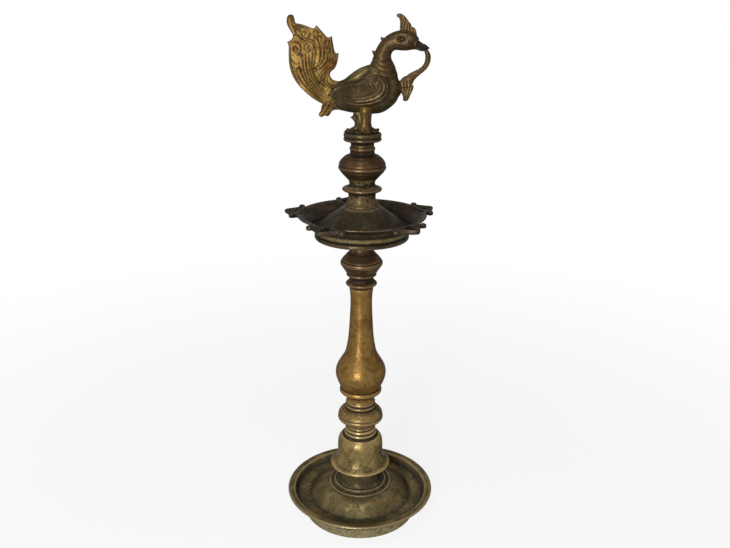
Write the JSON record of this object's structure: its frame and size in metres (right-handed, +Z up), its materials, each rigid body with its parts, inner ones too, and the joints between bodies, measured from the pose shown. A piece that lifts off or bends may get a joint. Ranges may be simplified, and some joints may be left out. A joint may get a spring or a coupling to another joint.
{
  "type": "standing oil lamp",
  "caption": "Tall cast and turned brass oil lamp: ring-footed drip pan, screwed column sections, round dish with pointed wick lips, and a bird finial holding a vine.",
  "frame": {"origin": "centre of the ring foot, on the surface that the lamp stands on", "axes": "+Z up along the lamp's axis; the bird faces +X with its sides facing -Y and +Y"},
  "size_m": [0.277, 0.277, 0.916],
  "materials": {
    "aged_brass_base": "cast and turned brass with a brown-olive patina, satin where hands and polish reach",
    "aged_brass_bell": "cast and turned brass with a brown-olive patina, satin where hands and polish reach",
    "aged_brass_ring_knop": "cast and turned brass with a brown-olive patina, satin where hands and polish reach",
    "aged_brass_column": "cast and turned brass with a brown-olive patina, satin where hands and polish reach",
    "dark_brass_upper_knop": "cast brass blackened by soot and old oil, satin",
    "dark_brass_dish": "cast brass blackened by soot and old oil, satin",
    "dark_brass_spout": "cast brass blackened by soot and old oil, satin",
    "dark_brass_upper_stem": "cast brass blackened by soot and old oil, satin",
    "aged_brass_perch": "cast and turned brass with a brown-olive patina, satin where hands and polish reach",
    "aged_brass_foliage": "cast and turned brass with a brown-olive patina, satin where hands and polish reach",
    "golden_brass_leg": "cast brass rubbed to a golden ochre on its relief, satin",
    "dark_brass_torso": "cast brass blackened by soot and old oil, satin",
    "aged_brass_wing": "cast and turned brass with a brown-olive patina, satin where hands and polish reach",
    "aged_brass_neck": "cast and turned brass with a brown-olive patina, satin where hands and polish reach",
    "dark_brass_eyes": "cast brass blackened by soot and old oil, satin",
    "dark_brass_beak": "cast brass blackened by soot and old oil, satin",
    "golden_brass_crest": "cast brass rubbed to a golden ochre on its relief, satin",
    "golden_brass_tail": "cast brass rubbed to a golden ochre on its relief, satin",
    "golden_brass_vine": "cast brass rubbed to a golden ochre on its relief, satin"
  },
  "bodies": {
    "base": {"base_pan": "aged_brass_base"},
    "bell_section": {"bell": "aged_brass_bell"},
    "ring_knop_section": {"ring_knop": "aged_brass_ring_knop"},
    "column_section": {"column": "aged_brass_column"},
    "upper_knop_section": {"upper_knop": "dark_brass_upper_knop"},
    "dish_section": {"oil_dish": "dark_brass_dish", "wick_spout_1": "dark_brass_spout", "wick_spout_2": "dark_brass_spout", "wick_spout_3": "dark_brass_spout", "wick_spout_4": "dark_brass_spout", "wick_spout_5": "dark_brass_spout"},
    "upper_stem_section": {"upper_stem": "dark_brass_upper_stem"},
    "finial": {"perch": "aged_brass_perch", "perch_foliage": "aged_brass_foliage", "foliage_support": "aged_brass_foliage", "leg_near": "golden_brass_leg", "leg_far": "golden_brass_leg", "torso": "dark_brass_torso", "wing_near": "aged_brass_wing", "wing_far": "aged_brass_wing", "neck_and_head": "aged_brass_neck", "eyes": "dark_brass_eyes", "beak": "dark_brass_beak", "crest": "golden_brass_crest", "tail_fan": "golden_brass_tail", "tail_tuft": "golden_brass_tail", "vine": "golden_brass_vine", "flower_pendant": "golden_brass_vine"}
  },
  "joints": [
    {"name": "bell_lift", "type": "slide", "parent": "base", "child": "bell_section", "axis": [0, 0, 1], "range_m": [0, 0.022]},
    {"name": "ring_knop_lift", "type": "slide", "parent": "bell_section", "child": "ring_knop_section", "axis": [0, 0, 1], "range_m": [0, 0.02]},
    {"name": "column_lift", "type": "slide", "parent": "ring_knop_section", "child": "column_section", "axis": [0, 0, 1], "range_m": [0, 0.02]},
    {"name": "upper_knop_lift", "type": "slide", "parent": "column_section", "child": "upper_knop_section", "axis": [0, 0, 1], "range_m": [0, 0.02]},
    {"name": "dish_lift", "type": "slide", "parent": "upper_knop_section", "child": "dish_section", "axis": [0, 0, 1], "range_m": [0, 0.022]},
    {"name": "upper_stem_lift", "type": "slide", "parent": "dish_section", "child": "upper_stem_section", "axis": [0, 0, 1], "range_m": [0, 0.076]},
    {"name": "finial_lift", "type": "slide", "parent": "upper_stem_section", "child": "finial", "axis": [0, 0, 1], "range_m": [0, 0.016]}
  ]
}
